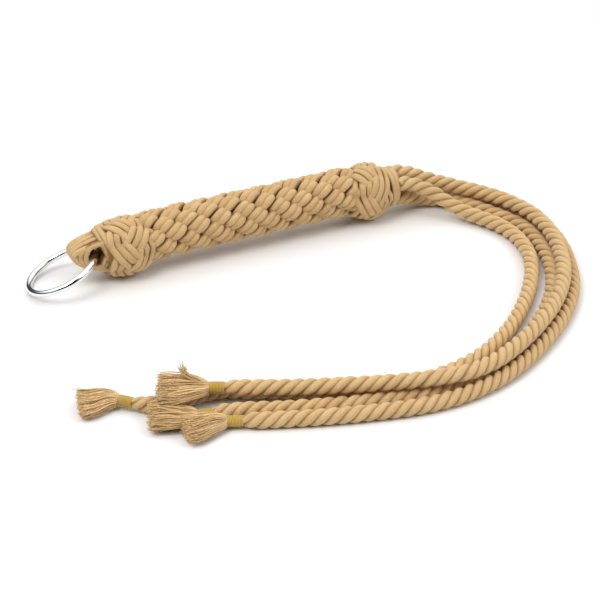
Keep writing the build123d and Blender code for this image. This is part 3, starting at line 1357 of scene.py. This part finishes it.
@dataclass
class RingEye:
    """The eye: cords folded back round the ring's wire, bound by slanted turns.

    The pin is the point that the ring swings about, and the ring's wire is rolled
    there by a few degrees. Each binding turn has how far it lies behind the knot's
    face, half its height, half its width and how far its top leans forward, in
    millimetres.
    """

    handle: Handle
    pin: Place = (-85.252 * MM, 1.484 * MM, 20.0 * MM)
    tip_x: float = -101.25 * MM
    tip_rise: float = 3.0 * MM
    root_half: float = 13.2 * MM
    half_thickness: float = 9.5 * MM
    cord_radius: float = 1.95 * MM
    wire_radius: float = 2.25 * MM
    ring_radius: float = 23.25 * MM
    ring_roll: float = 10.0
    clearance: float = 0.6 * MM
    overlap: float = 3.0 * MM
    rows: int = 5
    folds: int = 3
    turns: tuple[tuple[float, float, float, float], ...] = (
        (1.5, 14.6, 9.2, 5.2),
        (4.6, 15.8, 11.4, 6.0),
    )

    @property
    def reach(self) -> float:
        """How far the outermost row of folds lies from the eye's middle plane."""
        return self.half_thickness - self.cord_radius

    def inner_gap(self, y: float) -> float:
        """Room that the bent wire needs at a place y across the eye.

        Args:
            y: the cord's place across the eye.

        Returns:
            The distance from the pin to the cord's near side.
        """
        outer = min(abs(y - self.pin[1]) + self.cord_radius, 0.9 * self.ring_radius)
        sag = self.ring_radius - float(np.sqrt(self.ring_radius**2 - outer**2))
        return self.wire_radius + self.clearance + sag

    def fold(self, y: float, share: float) -> np.ndarray:
        """One cord's path round the wire.

        It blends, by its share, a tight half circle round the wire's room, which
        closes behind the wire, and a wedge that rises from the tip to the knot's face
        as a rounded power curve.

        Args:
            y: the cord's distance from the eye's middle plane.
            share: 0 for the innermost fold to 1 for the outermost.

        Returns:
            The path's points.
        """
        t = np.linspace(-1.0, 1.0, 400)
        pin_x, pin_y, pin_z = self.pin
        back = self.handle.butt_start + self.overlap
        inner = self.inner_gap(y) + self.cord_radius
        swing = np.clip(np.pi / 2 + t * np.pi * 0.62, 0.0, np.pi)
        beyond = np.clip(np.abs(t) - 0.80, 0, None) / 0.2
        tight_x = pin_x - inner * np.sin(swing) + beyond * (back - pin_x)
        drop = -1.08 * inner * np.cos(swing)
        snug = self.cord_radius / (1.08 * inner)
        lean = (y - pin_y) * float(np.tan(np.radians(self.ring_roll)))
        closing = smooth_step((beyond - 0.3) * 1.8)
        tight_z = pin_z - lean + drop * (1 - (1 - snug) * closing)

        front = self.tip_x + self.cord_radius
        wide_x = front + (back - front) * np.abs(t) ** 1.75
        root = self.root_half * float(np.sqrt(1 - 0.36 * (y / self.reach) ** 2))
        rise = self.tip_rise * (1 - np.abs(t))
        wide_z = pin_z + rise + root * np.sign(t) * np.abs(t) ** 0.8
        narrowing = 1 - 0.3 * share * (1 - np.abs(t)) ** 1.2
        x = tight_x * (1 - share) + wide_x * share
        z = tight_z * (1 - share) + wide_z * share
        return np.stack([x, y * narrowing, z], axis=1)

    def build(self, wardrobe: Wardrobe) -> None:
        """Fold every cord and wind the binding turns.

        Args:
            wardrobe: where the finishes come from.
        """
        surface = Surface()
        rng = np.random.default_rng(4)
        columns = 16
        for y in np.linspace(-self.reach, self.reach, self.rows):
            for share in np.linspace(0.0, 1.0, self.folds):
                path = even_steps(self.fold(float(y), float(share)), 0.7 * MM)
                heading = headings(path)
                outward = unit(np.cross(heading, LEVEL))
                across = np.cross(heading, outward)
                width = self.cord_radius * 1.04
                grid = sweep(path, outward, across, self.cord_radius, width, columns)
                # painted shade: inner folds dark, the outer faces and the outermost fold's back
                # left open
                shade = self.fold_painted_shade(len(path), columns, float(y) / self.reach, float(share))
                surface.add_tube(grid, shade, tone=float(rng.uniform(0.3, 0.7)))
        self.wind_turns(surface, rng)
        wardrobe.finish_piece(surface, "ring_eye_folds", CORD_COTTON, "ring_eye")

    @staticmethod
    def fold_painted_shade(rows: int, columns: int, row: float, share: float) -> np.ndarray:
        """Painted shade of one fold: none on the outermost fold's back and on the outer faces,
        whole elsewhere on the inner folds.

        Args:
            rows: points along the fold.
            columns: points round it.
            row: the fold's place across the eye, -1 to 1.
            share: 0 for the innermost fold to 1 for the outermost.

        Returns:
            0 where the cord lies open to 1, whole painted shade, where it touches its neighbours.
        """
        angle = cord_outline(columns)
        shade = smooth_step((np.abs(angle) - 0.75) / 0.6) if share > 0.9 else np.ones(columns)
        if abs(row) > 0.9:
            from_face = np.arccos(np.clip(-np.sin(angle) * np.sign(row), -1, 1))
            shade = np.minimum(shade, smooth_step((from_face - 0.75) / 0.6))
        return np.broadcast_to(shade, (rows, columns))

    def wind_turns(self, surface: Surface, rng: np.random.Generator) -> None:
        """Wind slanted turns round the eye's root, as ovals tilted along the axis.

        Args:
            surface: the surface that the turns are added to.
            rng: the source of the random tones.
        """
        rows, columns = 120, 16
        angle = np.linspace(0, FULL_TURN, rows, endpoint=False)
        for place, high, wide, slant in self.turns:
            x = self.handle.butt_start + (place - slant * np.cos(angle)) * MM
            spokes = np.stack([0 * x, -wide * np.sin(angle), high * np.cos(angle)], axis=1) * MM
            path = spokes + x[:, None] * AXIS + self.handle.axis_height * UP
            heading = loop_headings(path)
            outward = unit(spokes - (spokes * heading).sum(-1, keepdims=True) * heading)
            across = np.cross(heading, outward)
            grid = sweep(path, outward, across, 2.0 * MM, 2.0 * MM, columns)
            tone = float(rng.uniform(0.4, 0.6))
            # painted shade in the grooves between the binding turns
            surface.add_tube(grid, painted_groove_shade_mask(rows, columns), tone=tone, closed=True)


# ---- the whole quirt -----------------------------------------------------------
TAILS = (
    Tail(
        "inner",
        exit_quarter=1,
        points_mm=[
            (153, -17.5, 18), (166, -30, 7), (186, -60, 5), (183, -98, 5),
            (158, -139, 5), (120, -177, 5), (80, -199, 5), (35, -203, 5),
            (-4, -190, 5), (-42, -173, 5), (-68, -158, 5), (-92, -162, 5),
            (-113, -156, 5), (-121, -147, 5),
        ],
        cut_end_mm=(-148, -138, 5),
        fan_half_width=13.0 * MM,
        fan_half_height=5.0 * MM,
        seed=11,
        start_phase=0.4,
        bind_back=5.0 * MM,
    ),
    Tail(
        "low",
        exit_quarter=2,
        points_mm=[
            (153, -2, 5.2), (170, -10, 5), (186, -37, 5), (198.5, -68, 5),
            (190, -110, 5), (168, -151, 5), (129, -186, 5), (88, -210, 5),
            (46, -217, 5), (3, -208, 5), (-38, -195, 5), (-66, -183, 5),
            (-86, -179, 5),
        ],
        cut_end_mm=(-116, -167, 6),
        fan_half_width=14.0 * MM,
        fan_half_height=5.6 * MM,
        seed=12,
        start_phase=1.9,
        bind_back=6.5 * MM,
    ),
    Tail(
        "top",
        exit_quarter=0,
        points_mm=[
            (158, -2, 19), (178, -15, 14.6), (198, -44, 14.2), (204, -80, 14.2),
            (190, -126, 14.2), (165, -164, 14.2), (121, -199, 14.2), (76, -221, 15.2),
            (40, -216, 15.6), (4, -202, 14.2), (-32, -187, 13.2), (-68, -170, 13.2),
        ],
        cut_end_mm=(-105, -153.5, 12.2),
        fan_half_width=15.0 * MM,
        fan_half_height=6.3 * MM,
        seed=13,
        start_phase=2.8,
        bound_radius=3.85 * MM,
        wisp_mm=(-11, 15, 7),
    ),
    Tail(
        "outer",
        exit_quarter=3,
        points_mm=[
            (160, 10, 5.2), (179, -1, 5), (199, -31, 5), (212, -68, 5),
            (202.5, -112, 5), (178, -159, 5), (134, -197, 5), (88, -222, 5),
            (44, -228, 5), (2, -219, 5), (-40, -206, 5), (-70, -193.5, 5),
        ],
        cut_end_mm=(-103, -189, 5.5),
        fan_half_width=12.5 * MM,
        fan_half_height=5.5 * MM,
        seed=14,
        start_phase=0.9,
        bind_back=3.0 * MM,
    ),
)


def knots(handle: Handle) -> tuple[TurksHead, TurksHead]:
    """The knots at the grip's two ends.

    Args:
        handle: the handle that the knots sit on.

    Returns:
        The neck knot and the butt knot.
    """
    neck = TurksHead(
        handle,
        "neck_turks_head",
        "neck_knot",
        start=handle.neck_start,
        end=handle.neck_end,
        bights=4,
        cord_width=4.5 * MM,
        phase=0.3,
    )
    butt = TurksHead(
        handle,
        "butt_turks_head",
        "butt_knot",
        start=handle.butt_start,
        end=handle.butt_end,
        bights=5,
        cord_width=4.6 * MM,
        phase=0.2,
        near_rim=17.6 * MM,
        far_rim=15.0 * MM,
    )
    return neck, butt


def main() -> None:
    """Build the studio, the tails and the handle in order, and report each piece."""
    logging.basicConfig(level=logging.INFO, format="%(name)s: %(message)s")
    wardrobe = Wardrobe()
    Studio().build()
    handle = Handle()
    collar = Collar(handle)
    for tail in TAILS:
        tail.build(collar, wardrobe)
    collar.build(wardrobe)
    for knot in knots(handle):
        knot.build(wardrobe)
    PlaitedGrip(handle).build(wardrobe)
    RingEye(handle).build(wardrobe)
    wardrobe.dress(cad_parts["ring"], Chrome("bright_chrome"))
    log.info("ring: the solid itself, dressed in chrome")


if __name__ == "__main__":
    main()
